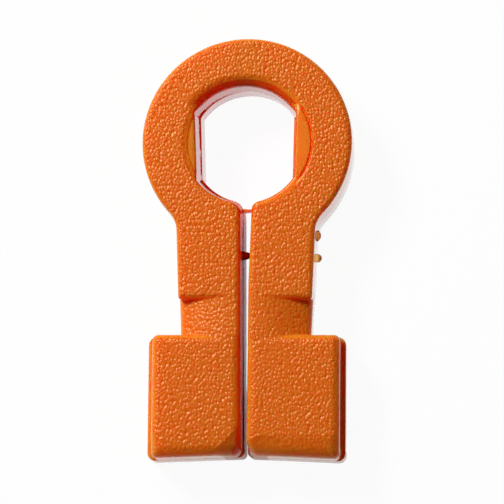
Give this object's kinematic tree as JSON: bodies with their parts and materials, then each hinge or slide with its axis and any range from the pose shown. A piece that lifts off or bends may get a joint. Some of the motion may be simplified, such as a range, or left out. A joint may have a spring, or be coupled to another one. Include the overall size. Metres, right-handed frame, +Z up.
{
  "type": "spring clamp",
  "caption": "Flat moulded spring clamp: round spring ring with a two-flat hole, slit arms, crowned necks and wide square jaws that grip thin work.",
  "frame": {"origin": "middle of the outline, on the back face that the clamp lies on", "axes": "+X to the right across the clamp seen from the front, +Y from the jaws to the ring, +Z up through the thickness to the front face with the counterbore"},
  "size_m": [0.025, 0.05, 0.008],
  "materials": {
    "moulding": "opaque orange moulded plastic, spark-eroded grain on both faces, smoother walls"
  },
  "bodies": {
    "crown": {"spring_crown": "moulding"},
    "left_half": {"left_spring_limb": "moulding", "left_hole_land": "moulding", "left_arm": "moulding", "left_neck": "moulding", "left_jaw": "moulding", "slit_web": "moulding", "slit_stop": "moulding"},
    "right_half": {"right_spring_limb": "moulding", "right_hole_land": "moulding", "right_arm": "moulding", "right_neck": "moulding", "right_jaw": "moulding", "upper_gate_stub": "moulding", "lower_gate_stub": "moulding"}
  },
  "joints": [
    {"name": "right_flexure", "type": "hinge", "parent": "crown", "child": "right_half", "pos_m": [0.0062, 0.0145, 0.004], "axis": [0, 0, 1], "range_deg": [0, 8], "stiffness_Nm_per_rad": 0.02, "deforming": ["right_spring_limb", "right_hole_land"]},
    {"name": "left_flexure", "type": "hinge", "parent": "crown", "child": "left_half", "pos_m": [-0.0062, 0.0145, 0.004], "axis": [0, 0, -1], "range_deg": [0, 8], "stiffness_Nm_per_rad": 0.02, "deforming": ["left_spring_limb", "left_hole_land"]}
  ],
  "couplings": [
    {"joint": "left_flexure", "follows": "right_flexure", "ratio": 1}
  ]
}
